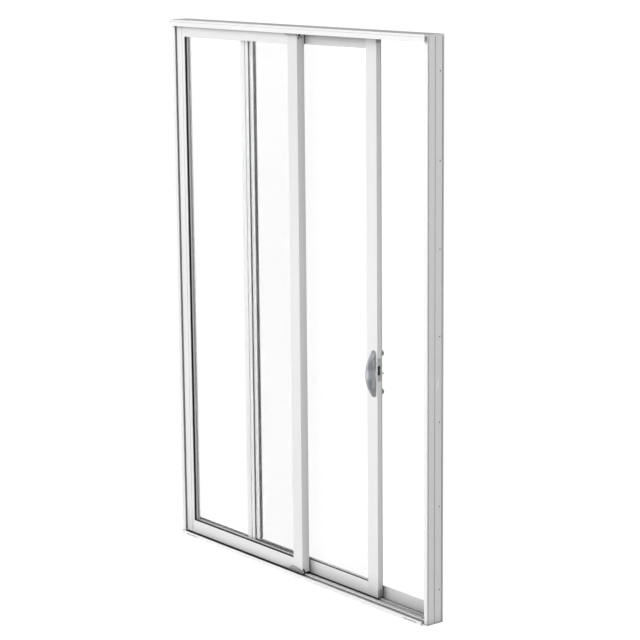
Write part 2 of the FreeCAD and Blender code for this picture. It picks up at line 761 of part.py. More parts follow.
def make_hook():
    # The hook in its own frame: the pivot at the origin and the arm along X.
    hub = bind(document.addObject("Part::Cylinder", "hook_hub"), Radius="hub_radius", Height="hook_thick")
    arm = bind(document.addObject("Part::Box", "hook_bar"), Width="hook_arm", Height="hook_thick")
    bind(arm, Length="hook_radius - joint_gap * 2")
    arm.setExpression("Placement.Base.y", formula("-hook_arm / 2"))
    beak = bind(document.addObject("Part::Cylinder", "hook_rim"), Radius="hook_radius", Height="hook_thick")
    bind(beak, Angle="hook_sweep")
    beak.Placement = Placement(Vector(0, 0, 0), Rotation(Vector(0, 0, 1), -value("hook_sweep")))
    hollow = bind(document.addObject("Part::Cylinder", "hook_hollow"), Radius="hook_inner", Height="hook_thick")
    claw = document.addObject("Part::Cut", "hook_claw")
    claw.Base = beak
    claw.Tool = hollow
    solid = document.addObject("Part::MultiFuse", "hook_solid")
    solid.Shapes = [hub, arm, claw]
    bore = bind(document.addObject("Part::Cylinder", "hook_bore"), Height="hook_thick")
    bind(bore, Radius="pivot_radius + bore_gap")
    hook = document.addObject("Part::Cut", "latch_hook")
    hook.Base = solid
    hook.Tool = bore
    hook.Label = "latch_hook"
    # The plate stands upright across the track, and the arm hangs back inside the case.
    upright = Rotation(Vector(1, 0, 0), -90)
    swung = Rotation(Vector(0, 1, 0), value("hook_rest"))
    middle = Vector(value("pivot_place"), value("lock_line - hook_thick / 2"), value("pivot_height"))
    hook.Placement = Placement(middle, swung.multiply(upright))
    document.recompute()
    pieces.append(hook)


def make_thumb_turn():
    inner = "lock_line + case_width / 2 + joint_gap"
    collar = "sliding_back + joint_gap"
    profile = [("0", inner), ("spindle_radius", inner), ("spindle_radius", collar), ("turn_radius", collar)]
    profile += [("turn_radius", f"{collar} + turn_collar"), ("0", f"{collar} + turn_collar")]
    turn = turned("thumb_turn", profile, "handle_line", "turn_height")
    wing = rectangle("-wing_length", "wing_length", "-wing_thick / 2", "wing_thick / 2")
    middle, length = between("sliding_back + joint_gap", "sliding_back + turn_reach")
    pad(turn, "XZ_Plane", [wing], middle, length)


make_sill()
make_head()
make_jamb("left_jamb", "-1 * ")
right_jamb = make_jamb("right_jamb", "1 * ")
make_keeper(right_jamb)
make_fixed_panel()
make_blocks()
make_sliding_panel()
make_caps()
make_roller("left", "sliding_glass_left + roller_inset")
make_roller("right", "sliding_glass_right - roller_inset")
make_handle()
make_posts()
make_lock()
make_hook()
make_thumb_turn()
document.recompute()

# Every object must have worked out before any file is written.
for item in document.Objects:
    if "Invalid" in item.State or "Error" in item.State:
        raise RuntimeError(f"{item.Label} failed: {item.State}")
for piece in pieces:
    if piece.Shape.isNull() or not piece.Shape.isValid():
        raise RuntimeError(f"{piece.Label} has no valid shape")

os.makedirs("parts", exist_ok=True)
for piece in pieces:
    piece.Shape.exportStep(f"parts/{piece.Label}.step")
print(f"{len(pieces)} pieces written")
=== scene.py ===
import json
import math

import bmesh
import bpy
from mathutils import Matrix, Vector


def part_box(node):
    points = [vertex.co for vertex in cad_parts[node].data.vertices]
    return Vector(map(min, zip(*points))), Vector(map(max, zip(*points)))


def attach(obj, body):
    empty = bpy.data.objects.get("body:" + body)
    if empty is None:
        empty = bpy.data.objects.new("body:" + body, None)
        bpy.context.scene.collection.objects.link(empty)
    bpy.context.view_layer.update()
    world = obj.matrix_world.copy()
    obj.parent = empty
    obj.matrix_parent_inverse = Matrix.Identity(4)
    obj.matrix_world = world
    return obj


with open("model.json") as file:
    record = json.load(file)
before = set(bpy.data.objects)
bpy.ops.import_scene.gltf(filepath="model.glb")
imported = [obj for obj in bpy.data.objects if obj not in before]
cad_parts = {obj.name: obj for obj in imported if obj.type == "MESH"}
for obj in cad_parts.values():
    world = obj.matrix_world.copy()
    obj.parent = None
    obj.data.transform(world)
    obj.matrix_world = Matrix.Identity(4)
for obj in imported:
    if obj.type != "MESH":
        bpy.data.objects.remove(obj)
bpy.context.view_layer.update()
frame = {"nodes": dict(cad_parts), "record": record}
nodes = frame["nodes"]
print("frame loaded:", len(nodes), "nodes")

# Camera: stands to the right of the door, outside, a little above its middle
cameraView = {
    "azimuth": 51.430,  # degrees, 0 looks along +Y
    "elevation": 11.144,  # degrees above the horizon
    "roll": 0.5185,
    "place": (7.0278, -5.4997, 2.9170),  # metres
    "lens": 116.764,  # mm
    "sensor": 36,  # mm wide
    "reach": 200,  # metres
}


def makeCamera(view):
    a, e, r = (math.radians(view[name]) for name in ("azimuth", "elevation", "roll"))
    forward = Vector((-math.sin(a) * math.cos(e), math.cos(a) * math.cos(e), -math.sin(e)))
    level = Vector((math.cos(a), math.sin(a), 0))
    down = forward.cross(level)
    right = math.cos(r) * level + math.sin(r) * down
    down = -math.sin(r) * level + math.cos(r) * down
    data = bpy.data.cameras.new("camera")
    data.sensor_fit = "HORIZONTAL"
    data.sensor_width = view["sensor"]
    data.lens = view["lens"]
    data.clip_end = view["reach"]
    camera = bpy.data.objects.new("camera", data)
    turn = Matrix((right, -down, -forward)).transposed().to_4x4()
    camera.matrix_world = Matrix.Translation(view["place"]) @ turn
    bpy.context.scene.collection.objects.link(camera)
    bpy.context.scene.camera = camera


makeCamera(cameraView)
print("camera set")


def addNode(tree, kind, inputs=None, **settings):
    # A node with its settings, then the values of its sockets
    node = tree.nodes.new(kind)
    for name, value in settings.items():
        setattr(node, name, value)
    for socket, value in (inputs or {}).items():
        node.inputs[socket].default_value = value
    return node


# Studio: a white world that is dimmer from above, three broad lamps and a white floor
studio = {
    "ambientLow": 0.63,  # world strength on the object from level with it
    "ambientHigh": 0.10,  # and from straight above
    "ambientFrom": 0.05,  # sine of the height where it starts to dim
    "ambientTo": 0.70,
    "floorHalf": 30.0,
    "floorTone": 0.82,
    "shadowShare": 0.06,  # how much of the floor's own shading the camera sees
    "white": 1.08,  # what the camera sees behind the object
    "mirrorFrom": (-0.77, -0.61, -0.10),  # the bright side of the studio in reflections
    "mirrorWidth": 0.85,
    "mirrorLow": 0.28,
    "mirrorHigh": 1.0,
}
lamps = {  # strength as irradiance, the direction that the light comes from, and its spread in degrees
    "keyLamp": (0.735, (-0.35, -0.92, 0.14), 60),
    "sideLamp": (0.37, (0.85, -0.50, 0.10), 40),
    "backLamp": (0.32, (-0.25, 0.96, 0.12), 40),  # a fill that only reaches faces turned to the back
}


def makeSun(name, strength, comesFrom, spread):
    data = bpy.data.lights.new(name, "SUN")
    data.energy = strength * math.pi
    data.angle = math.radians(spread)
    lamp = bpy.data.objects.new(name, data)
    lamp.rotation_mode = "QUATERNION"
    lamp.rotation_quaternion = Vector(comesFrom).to_track_quat("Z", "Y")
    bpy.context.scene.collection.objects.link(lamp)


def clearRay(tree):
    # 1 for rays straight from the camera, also through glass
    path = addNode(tree, "ShaderNodeLightPath")
    either = addNode(tree, "ShaderNodeMath", operation="MAXIMUM")
    tree.links.new(path.outputs["Is Camera Ray"], either.inputs[0])
    tree.links.new(path.outputs["Is Transmission Ray"], either.inputs[1])
    return either.outputs[0], path.outputs["Is Glossy Ray"]


def mirrorTone(tree, values, source):
    # Brightness of the studio in reflections: bright at the front left and dim elsewhere
    unit = addNode(tree, "ShaderNodeVectorMath", operation="NORMALIZE")
    dot = addNode(tree, "ShaderNodeVectorMath", {1: values["mirrorFrom"]}, operation="DOT_PRODUCT")
    ramp = addNode(tree, "ShaderNodeMapRange", {
        "From Min": 0.0, "From Max": values["mirrorWidth"],
        "To Min": values["mirrorLow"], "To Max": values["mirrorHigh"],
    }, interpolation_type="SMOOTHSTEP")
    tree.links.new(source, unit.inputs[0])
    tree.links.new(unit.outputs[0], dot.inputs[0])
    tree.links.new(dot.outputs["Value"], ramp.inputs["Value"])
    return ramp.outputs["Result"]


def mixByRay(tree, kind, lit, mirror, seen, seenShare=None):
    # What lights the object, what its gloss reflects, and what the camera sees
    clear, glossy = clearRay(tree)
    if seenShare is not None:
        share = addNode(tree, "ShaderNodeMath", {1: seenShare}, operation="MULTIPLY")
        tree.links.new(clear, share.inputs[0])
        clear = share.outputs[0]
    inner = addNode(tree, "ShaderNodeMixShader")
    outer = addNode(tree, "ShaderNodeMixShader")
    out = addNode(tree, kind)
    tree.links.new(glossy, inner.inputs[0])
    tree.links.new(lit.outputs[0], inner.inputs[1])
    tree.links.new(mirror.outputs[0], inner.inputs[2])
    tree.links.new(clear, outer.inputs[0])
    tree.links.new(inner.outputs[0], outer.inputs[1])
    tree.links.new(seen.outputs[0], outer.inputs[2])
    tree.links.new(outer.outputs[0], out.inputs[0])


def makeWorld(values):
    world = bpy.data.worlds.new("studio")
    bpy.context.scene.world = world
    world.use_nodes = True
    tree = world.node_tree
    tree.nodes.clear()
    white = {"Color": (1, 1, 1, 1)}
    place = addNode(tree, "ShaderNodeTexCoord")
    parts = addNode(tree, "ShaderNodeSeparateXYZ")
    fade = addNode(tree, "ShaderNodeMapRange", {
        "From Min": values["ambientFrom"], "From Max": values["ambientTo"],
        "To Min": values["ambientLow"], "To Max": values["ambientHigh"],
    })
    lit = addNode(tree, "ShaderNodeBackground", white)
    mirror = addNode(tree, "ShaderNodeBackground", white)
    seen = addNode(tree, "ShaderNodeBackground", {**white, "Strength": values["white"]})
    tree.links.new(place.outputs["Generated"], parts.inputs[0])
    tree.links.new(parts.outputs["Z"], fade.inputs["Value"])
    tree.links.new(fade.outputs["Result"], lit.inputs["Strength"])
    tree.links.new(mirrorTone(tree, values, place.outputs["Generated"]), mirror.inputs["Strength"])
    mixByRay(tree, "ShaderNodeOutputWorld", lit, mirror, seen)


def makeFloor(values):
    half = values["floorHalf"]
    mesh = bpy.data.meshes.new("studioFloor")
    corners = [(-half, -half, 0), (half, -half, 0), (half, half, 0), (-half, half, 0)]
    mesh.from_pydata(corners, [], [(0, 1, 2, 3)])
    floor = bpy.data.objects.new("studioFloor", mesh)
    bpy.context.scene.collection.objects.link(floor)
    material = bpy.data.materials.new("floorWhite")
    material.use_nodes = True
    tree = material.node_tree
    tree.nodes.clear()
    place = addNode(tree, "ShaderNodeTexCoord")
    lit = addNode(tree, "ShaderNodeBsdfDiffuse", {"Color": (values["floorTone"],) * 3 + (1,)})
    mirror = addNode(tree, "ShaderNodeEmission")
    seen = addNode(tree, "ShaderNodeEmission", {"Strength": values["white"]})
    tree.links.new(mirrorTone(tree, values, place.outputs["Object"]), mirror.inputs["Strength"])
    mixByRay(tree, "ShaderNodeOutputMaterial", lit, mirror, seen, 1 - values["shadowShare"])
    mesh.materials.append(material)


bpy.context.scene.view_settings.view_transform = "Standard"
makeWorld(studio)
for name, (strength, comesFrom, spread) in lamps.items():
    makeSun(name, strength, comesFrom, spread)
makeFloor(studio)
print("studio lit")


# Shader groups: effects that several finishes use
def newTree(name, kind, inputs, outputs):
    tree = bpy.data.node_groups.new(name, kind)
    for side, sockets in (("INPUT", inputs), ("OUTPUT", outputs)):
        for label, value in sockets.items():
            tree.interface.new_socket(name=label, in_out=side, socket_type="NodeSocket" + value)
    return tree, tree.nodes.new("NodeGroupInput").outputs, tree.nodes.new("NodeGroupOutput").inputs


def makeGrainGroup():
    # Small mottling of a surface: a colour that varies a little and a height for the Bump node
    group, into, out = newTree(
        "fineGrain", "ShaderNodeTree",
        {"Color": "Color", "Scale": "Float", "Spread": "Float", "Stretch": "Vector"},
        {"Color": "Color", "Height": "Float"},
    )
    place = addNode(group, "ShaderNodeTexCoord")
    mapping = addNode(group, "ShaderNodeMapping")
    noise = addNode(group, "ShaderNodeTexNoise", {"Detail": 4})
    centred = addNode(group, "ShaderNodeMath", {1: 0.5}, operation="SUBTRACT")
    amount = addNode(group, "ShaderNodeMath", operation="MULTIPLY")
    gain = addNode(group, "ShaderNodeMath", {1: 1.0}, operation="ADD")
    tint = addNode(group, "ShaderNodeVectorMath", operation="SCALE")
    link = group.links.new
    link(place.outputs["Object"], mapping.inputs["Vector"])
    link(into["Stretch"], mapping.inputs["Scale"])
    link(mapping.outputs[0], noise.inputs["Vector"])
    link(into["Scale"], noise.inputs["Scale"])
    link(noise.outputs["Fac"], centred.inputs[0])
    link(centred.outputs[0], amount.inputs[0])
    link(into["Spread"], amount.inputs[1])
    link(amount.outputs[0], gain.inputs[0])
    link(into["Color"], tint.inputs[0])
    link(gain.outputs[0], tint.inputs["Scale"])
    link(tint.outputs[0], out["Color"])
    link(noise.outputs["Fac"], out["Height"])
    return group


def placeAlong(group, axis):
    # Distance of a point from the object's origin along an axis
    place = addNode(group, "ShaderNodeTexCoord")
    along = addNode(group, "ShaderNodeVectorMath", operation="DOT_PRODUCT")
    group.links.new(place.outputs["Object"], along.inputs[0])
    group.links.new(axis, along.inputs[1])
    return along.outputs["Value"]


def makeRampGroup():
    # A factor that goes from Low to High between two places along an axis, and the colour times it
    group, into, out = newTree(
        "axisRamp", "ShaderNodeTree",
        {"Color": "Color", "Axis": "Vector", "Start": "Float", "Stop": "Float", "Low": "Float", "High": "Float"},
        {"Color": "Color", "Factor": "Float"},
    )
    ramp = addNode(group, "ShaderNodeMapRange")
    tint = addNode(group, "ShaderNodeVectorMath", operation="SCALE")
    link = group.links.new
    link(placeAlong(group, into["Axis"]), ramp.inputs["Value"])
    for label, socket in (("Start", "From Min"), ("Stop", "From Max"), ("Low", "To Min"), ("High", "To Max")):
        link(into[label], ramp.inputs[socket])
    link(into["Color"], tint.inputs[0])
    link(ramp.outputs["Result"], tint.inputs["Scale"])
    link(tint.outputs[0], out["Color"])
    link(ramp.outputs["Result"], out["Factor"])
    return group


def makeBandGroup():
    # A colour that is duller by Gain inside a band across an axis
    group, into, out = newTree(
        "axisBand", "ShaderNodeTree",
        {"Color": "Color", "Axis": "Vector", "Middle": "Float", "Half": "Float", "Gain": "Float"},
        {"Color": "Color"},
    )
    within = addNode(group, "ShaderNodeMath", operation="COMPARE")
    dull = addNode(group, "ShaderNodeMapRange", {"To Min": 1.0})
    tint = addNode(group, "ShaderNodeVectorMath", operation="SCALE")
    link = group.links.new
    link(placeAlong(group, into["Axis"]), within.inputs[0])
    link(into["Middle"], within.inputs[1])
    link(into["Half"], within.inputs[2])
    link(within.outputs[0], dull.inputs["Value"])
    link(into["Gain"], dull.inputs["To Max"])
    link(into["Color"], tint.inputs[0])
    link(dull.outputs["Result"], tint.inputs["Scale"])
    link(tint.outputs[0], out["Color"])
    return group


grainGroup = makeGrainGroup()
rampGroup = makeRampGroup()
bandGroup = makeBandGroup()
axes = {"X": (1, 0, 0), "Y": (0, 1, 0), "Z": (0, 0, 1)}


# Finishes: each says where it differs from plain white paint. The white parts share one paint, and the lighter and
# darker greys that some of them get are painted light and painted shade
def grey(tone):
    return (tone, tone, tone)


paint = {"color": grey(0.89), "roughness": 0.45, "metallic": 0.0,
         "scale": 700, "spread": 0.03, "stretch": (1, 1, 1), "bump": 0.05, "bumpDepth": 0.0004}
underHead = ("Z", 1.3, 2.42, 0.87)  # axis, start, stop and gain: less light reaches the paint under the head
finishes = {
    "whitePaint": {"paintedShadeReach": 0.15, "shade": 0.62},  # how far the painted recess shade reaches, and its share
    "headPaint": {"color": grey(0.90), "paintedShadeReach": 0.15, "shade": 0.70},
    "innerTopPaint": {"color": grey(0.83), "paintedShadeReach": 0.15, "shade": 0.62},
    "topRailPaint": {"color": grey(0.84), "paintedShadeReach": 0.26, "shade": 0.34},
    "stilePaint": {"color": grey(0.87), "paintedShadeReach": 0.05, "shade": 0.45, "fade": underHead},
    "sillPaint": {"color": grey(0.93), "paintedShadeReach": 0.12, "shade": 0.88, "shadeAlong": ("Y", -0.050, -0.036)},
    "railPaint": {"paintedShadeReach": 0.055, "shade": 0.70},
    "innerRailPaint": {"paintedShadeReach": 0.08, "shade": 0.95},
    # painted shade: the jamb's bands darken its back flange and its foot, standing in for the shadow in the back
    # groove and at the floor
    "jambPaint": {"color": grey(0.96), "paintedShadeReach": 0.05, "shade": 0.45,  # bands: axis, middle, half and gain
                  "bands": (("Y", 0.0402, 0.0040, 0.70), ("Z", 0.0045, 0.0032, 0.68))},
    "lockStilePaint": {"paintedShadeReach": 0.12, "shade": 0.95, "shadeAlong": ("Z", 0.20, 0.04),
                       "bands": (("Y", 0.0322, 0.0026, 0.64),), "fade": underHead},
    "backGasket": {"color": grey(0.95), "roughness": 0.6, "scale": 500, "spread": 0.05,
                   "bands": (("X", -0.790, 0.016, 0.40),)},
    "innerPaint": {},
    "handleSilver": {"color": (0.37, 0.385, 0.415), "roughness": 0.35, "metallic": 0.25, "scale": 900,
                     "spread": 0.10, "stretch": (1, 1, 0.15), "waist": (1.0, 0.008, 0.030, 1.5)},
    "plateSteel": {"color": (0.59, 0.595, 0.59), "metallic": 0.10, "scale": 260, "spread": 0.30,
                   "stretch": (1, 1, 0.6)},
    "brushedSteel": {"color": (0.55, 0.56, 0.54), "roughness": 0.38, "metallic": 0.6, "scale": 1200,
                     "spread": 0.18, "bump": 0.08, "stretch": (1, 1, 0.06)},
    # painted shade: the lock's case and hook are near black, standing in for the shade inside the latch slot
    "lockShadeBlack": {"color": grey(0.010), "roughness": 0.6, "scale": 900, "spread": 0.2},
    "spacerGrey": {"color": (0.74, 0.75, 0.75), "roughness": 0.5, "scale": 500, "spread": 0.08},
    "gasketBlack": {"color": grey(0.012), "roughness": 0.75, "scale": 600, "spread": 0.3, "bump": 0.15},
    "capBlack": {"color": grey(0.02), "roughness": 0.55, "scale": 800, "spread": 0.2, "bump": 0.1},
    "capGrey": {"color": grey(0.52), "roughness": 0.6, "scale": 600, "spread": 0.15, "bump": 0.1,
                "paintedShadeReach": 0.06, "shade": 1.0},
    "blockGrey": {"color": (0.44, 0.465, 0.43), "roughness": 0.35, "scale": 260, "spread": 0.15,
                  "paintedShadeReach": 0.03, "shade": 0.9},
    "stripGrey": {"color": grey(0.50), "roughness": 0.6, "scale": 400, "spread": 0.1},
    "brightPlug": {"color": grey(0.97), "roughness": 0.35, "scale": 500, "spread": 0.05, "bump": 0.02},
    "grooveGrey": {"color": grey(0.08), "roughness": 0.7, "scale": 500, "spread": 0.1},
    "plasticWhite": {"color": grey(0.75), "roughness": 0.5, "scale": 500, "spread": 0.05},
}


def waistPaintedHighlight(tree, colour, waist):
    # Painted highlight: the middle of the grip is made lighter, standing in for the light that its waist catches
    middle, inner, outer, gain = waist
    place = addNode(tree, "ShaderNodeTexCoord")
    parts = addNode(tree, "ShaderNodeSeparateXYZ")
    away = addNode(tree, "ShaderNodeMath", {1: middle}, operation="SUBTRACT")
    size = addNode(tree, "ShaderNodeMath", operation="ABSOLUTE")
    fade = addNode(tree, "ShaderNodeMapRange", {
        "From Min": inner, "From Max": outer, "To Min": gain, "To Max": 1.0,
    }, interpolation_type="SMOOTHSTEP")
    lift = addNode(tree, "ShaderNodeVectorMath", operation="SCALE")
    tree.links.new(place.outputs["Object"], parts.inputs[0])
    tree.links.new(parts.outputs["Z"], away.inputs[0])
    tree.links.new(away.outputs[0], size.inputs[0])
    tree.links.new(size.outputs[0], fade.inputs["Value"])
    tree.links.new(colour, lift.inputs[0])
    tree.links.new(fade.outputs["Result"], lift.inputs["Scale"])
    return lift.outputs[0]


def makeFinish(name, values):
    material = bpy.data.materials.new(name)
    material.use_nodes = True
    tree = material.node_tree
    link = tree.links.new
    shader = tree.nodes["Principled BSDF"]
    shader.inputs["Metallic"].default_value = values["metallic"]
    shader.inputs["Roughness"].default_value = values["roughness"]
    grain = addNode(tree, "ShaderNodeGroup", {
        "Color": (*values["color"], 1), "Scale": values["scale"],
        "Spread": values["spread"], "Stretch": values["stretch"],
    }, node_tree=grainGroup)
    bump = addNode(tree, "ShaderNodeBump", {"Strength": values["bump"], "Distance": values["bumpDepth"]})
    colour = grain.outputs["Color"]
    if "paintedShadeReach" in values:  # painted shade: ambient occlusion darkens the colour in recesses and near other parts
        corner = addNode(tree, "ShaderNodeAmbientOcclusion", {"Distance": values["paintedShadeReach"]}, samples=8)
        shade = addNode(tree, "ShaderNodeMix", data_type="RGBA", blend_type="MULTIPLY")
        shade.inputs["Factor"].default_value = values["shade"]
        if "shadeAlong" in values:  # the painted shade fades out along an axis, where the rest of the profile stands clear of the recess
            axis, start, stop = values["shadeAlong"]
            along = addNode(tree, "ShaderNodeGroup", {
                "Axis": axes[axis], "Start": start, "Stop": stop, "Low": 0.0, "High": values["shade"],
            }, node_tree=rampGroup)
            link(along.outputs["Factor"], shade.inputs["Factor"])
        link(colour, shade.inputs["A"])
        link(corner.outputs["AO"], shade.inputs["B"])
        colour = shade.outputs["Result"]
    # painted shade: the colour darkens towards the head, standing in for the light that the head keeps off
    if "fade" in values:
        axis, start, stop, gain = values["fade"]
        fade = addNode(tree, "ShaderNodeGroup", {
            "Axis": axes[axis], "Start": start, "Stop": stop, "Low": 1.0, "High": gain,
        }, node_tree=rampGroup)
        link(colour, fade.inputs["Color"])
        colour = fade.outputs["Color"]
    for axis, middle, half, gain in values.get("bands", ()):  # darker bands across an axis: painted shade along the right jamb's back flange and its foot
        band = addNode(tree, "ShaderNodeGroup", {
            "Axis": axes[axis], "Middle": middle, "Half": half, "Gain": gain,
        }, node_tree=bandGroup)
        link(colour, band.inputs["Color"])
        colour = band.outputs["Color"]
    # painted highlight on the middle of the grip
    if "waist" in values:
        colour = waistPaintedHighlight(tree, colour, values["waist"])
    link(colour, shader.inputs["Base Color"])
    link(grain.outputs["Height"], bump.inputs["Height"])
    link(bump.outputs["Normal"], shader.inputs["Normal"])
    return material


glassLook = {"color": (0.97, 0.99, 0.985), "roughness": 0.01, "alpha": 0.04, "ior": 1.45}


def makeGlass(values):
    material = bpy.data.materials.new("clearGlass")
    material.use_nodes = True
    shader = material.node_tree.nodes["Principled BSDF"]
    shader.inputs["Base Color"].default_value = (*values["color"], 1)
    shader.inputs["Roughness"].default_value = values["roughness"]
    shader.inputs["IOR"].default_value = values["ior"]
    shader.inputs["Transmission Weight"].default_value = 1.0
    shader.inputs["Alpha"].default_value = values["alpha"]
    return material


materials = {name: makeFinish(name, {**paint, **values}) for name, values in finishes.items()}
materials["clearGlass"] = makeGlass(glassLook)

slotFinish = {
    "white_frame": "whitePaint",
    "white_panel": "whitePaint",
    "glass": "clearGlass",
    "spacer": "spacerGrey",
    "gasket": "gasketBlack",
    "grey_block": "blockGrey",
    "white_plastic": "plasticWhite",
    "black_plastic": "capBlack",
    "steel": "brushedSteel",
    "handle_metal": "handleSilver",
}
nodeFinish = {  # nodes that differ from the rest of their slot
    "sill": "sillPaint",
    "fixed_bottom_rail": "railPaint",
    "sliding_bottom_rail": "innerRailPaint",
    "fixed_meeting_stile": "stilePaint",
    "head": "headPaint",
    "fixed_top_rail": "topRailPaint",
    "sliding_top_rail": "innerTopPaint",
    "fixed_back_gasket": "backGasket",
    "fixed_spacer": "innerPaint",
    "stile_top_cap": "capGrey",
    "stile_bottom_cap": "capGrey",
    "left_jamb": "innerPaint",
    "right_jamb": "jambPaint",
    "sliding_meeting_stile": "innerPaint",
    "sliding_lock_stile": "lockStilePaint",
    "sliding_spacer": "innerPaint",
    "sliding_back_gasket": "innerPaint",
    "lock_faceplate": "plateSteel",
    "lock_case": "lockShadeBlack",
    "latch_hook": "lockShadeBlack",
    "fixed_top_block": "blockGrey",
}
for part in frame["record"]["subparts"]:
    mesh = nodes[part["node"]].data
    mesh.materials.clear()
    mesh.materials.append(materials[nodeFinish.get(part["node"], slotFinish[part["material_slot"]])])
print("finishes on")


# Mesh helpers
def box(node):
    low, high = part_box(node)
    return Vector(low), Vector(high)


def addBlock(mesh, low, high, bevel=0.0):
    # A box with softened edges
    corners = [(x, y, z) for x in (low[0], high[0]) for y in (low[1], high[1]) for z in (low[2], high[2])]
    verts = [mesh.verts.new(corner) for corner in corners]
    faces = []
    for loop in ((0, 1, 3, 2), (4, 6, 7, 5), (0, 4, 5, 1), (2, 3, 7, 6), (0, 2, 6, 4), (1, 5, 7, 3)):
        faces.append(mesh.faces.new([verts[i] for i in loop]))
    if bevel:
        edges = list({edge for face in faces for edge in face.edges})
        bmesh.ops.bevel(mesh, geom=edges, offset=bevel, segments=2, affect="EDGES", profile=0.5)


def addCircle(mesh, centre, across, up, radius, steps):
    turns = [2 * math.pi * i / steps for i in range(steps)]
    across, up = Vector(across), Vector(up)
    return [mesh.verts.new(Vector(centre) + radius * (math.cos(a) * across + math.sin(a) * up)) for a in turns]


def bridge(mesh, rings):
    # Faces between each ring of points and the next
    for near, far in zip(rings, rings[1:]):
        for i in range(len(near)):
            j = (i + 1) % len(near)
            mesh.faces.new((near[i], near[j], far[j], far[i]))


def addDisc(mesh, centre, radius, height, steps=24):
    # A short round head that stands on a face turned to +X, its rim rounded
    profile = ((1, 0.0), (1, 0.6), (0.86, 0.92), (0.45, 1.0))  # shares of the radius and the height
    centre = Vector(centre)
    rings = []
    for wide, high in profile:
        middle = centre + Vector((height * high, 0, 0))
        rings.append(addCircle(mesh, middle, axes["Y"], axes["Z"], radius * wide, steps))
    bridge(mesh, rings)
    top = mesh.verts.new(centre + Vector((height, 0, 0)))
    for i in range(steps):
        mesh.faces.new((rings[-1][i], rings[-1][(i + 1) % steps], top))
    mesh.faces.new(list(reversed(rings[0])))


def addPrism(mesh, outline, low, high):
    # A flat outline in Y and Z, carried from X low to X high
    rings = [[mesh.verts.new((x, y, z)) for y, z in outline] for x in (low, high)]
    bridge(mesh, rings)
    mesh.faces.new(rings[0])
    mesh.faces.new(list(reversed(rings[1])))


def makeRowTree():
    # Copies of a small part along a line, as one mesh
    tree, into, out = newTree(
        "copiesInRow", "GeometryNodeTree",
        {"Geometry": "Geometry", "Count": "Int", "Start": "Vector", "Step": "Vector", "Finish": "Material"},
        {"Geometry": "Geometry"},
    )
    line = addNode(tree, "GeometryNodeMeshLine")
    copies = addNode(tree, "GeometryNodeInstanceOnPoints")
    solid = addNode(tree, "GeometryNodeRealizeInstances")
    finish = addNode(tree, "GeometryNodeSetMaterial")
    link = tree.links.new
    link(into["Count"], line.inputs["Count"])
    link(into["Start"], line.inputs["Start Location"])
    link(into["Step"], line.inputs["Offset"])
    link(line.outputs["Mesh"], copies.inputs["Points"])
    link(into["Geometry"], copies.inputs["Instance"])
    link(copies.outputs["Instances"], solid.inputs["Geometry"])
    link(solid.outputs["Geometry"], finish.inputs["Geometry"])
    link(into["Finish"], finish.inputs["Material"])
    link(finish.outputs["Geometry"], out["Geometry"])
    return tree


rowTree = makeRowTree()


def layInRow(piece, values):
    copies = piece.modifiers.new("row", "NODES")
    copies.node_group = rowTree
    for socket in rowTree.interface.items_tree:
        if socket.in_out == "INPUT" and socket.name in values:
            copies[socket.identifier] = values[socket.name]
    single = piece.data
    graph = bpy.context.evaluated_depsgraph_get()
    whole = bpy.data.meshes.new_from_object(piece.evaluated_get(graph))
    piece.modifiers.remove(copies)
    piece.data = whole
    bpy.data.meshes.remove(single)


def addPiece(name, mesh, finish, body, row=None):
    # row lays copies of the mesh: how many, where the first is, and the step to the next
    bmesh.ops.recalc_face_normals(mesh, faces=mesh.faces)
    data = bpy.data.meshes.new(name)
    mesh.to_mesh(data)
    mesh.free()
    piece = bpy.data.objects.new(name, data)
    bpy.context.scene.collection.objects.link(piece)
    if row:
        count, start, step = row
        layInRow(piece, {"Count": count, "Start": Vector(start)[:], "Step": Vector(step)[:],
                         "Finish": materials[finish]})
    else:
        data.materials.append(materials[finish])
    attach(piece, body)


# Black pile seals that close the gap under each panel; their black is also painted shade for the deep gap there
footSealShade = {
    "back": 0.0012,  # behind the rail's front face
    "thick": 0.004,
    "under": 0.0085,  # below the rail
    "into": 0.001,  # up into the rail
    "past": 0.055,  # how far the fixed panel's seal runs past its rail
    "short": 0.001,  # clear at each end
    "edge": 0.0004,
}


def makeFootSealShades(values):
    for name, body, rail, ends in (
        ("fixedFootSealShade", "frame", "fixed_bottom_rail", ("fixed_left_stile", "fixed_meeting_stile")),
        ("slidingFootSealShade", "sliding_panel", "sliding_bottom_rail", ("sliding_meeting_stile", "sliding_lock_stile")),
    ):
        low, high = box(rail)
        left = box(ends[0])[0].x if body == "sliding_panel" else low.x - values["past"]
        right = box(ends[1])[1].x
        front = low.y + values["back"]
        mesh = bmesh.new()
        addBlock(
            mesh, (left + values["short"], front, low.z - values["under"]),
            (right - values["short"], front + values["thick"], low.z + values["into"]), values["edge"],
        )
        addPiece(name, mesh, "gasketBlack", body)


makeFootSealShades(footSealShade)

# Glazing of the sliding panel's left side, seen through the fixed pane
rearTrim = {
    "seam": 0.009,  # from the stile to the dark trim
    "trim": 0.021,  # its width
    "trimNear": 0.0002,  # behind the glass
    "trimFar": 0.0018,
    "trimEdge": 0.0002,
    "gap": 0.0008,  # from the stile to the pale bead
    "bead": 0.024,
    "beadNear": 0.0001,  # in front of the glass
    "beadFar": 0.0012,
    "beadEdge": 0.0003,
}


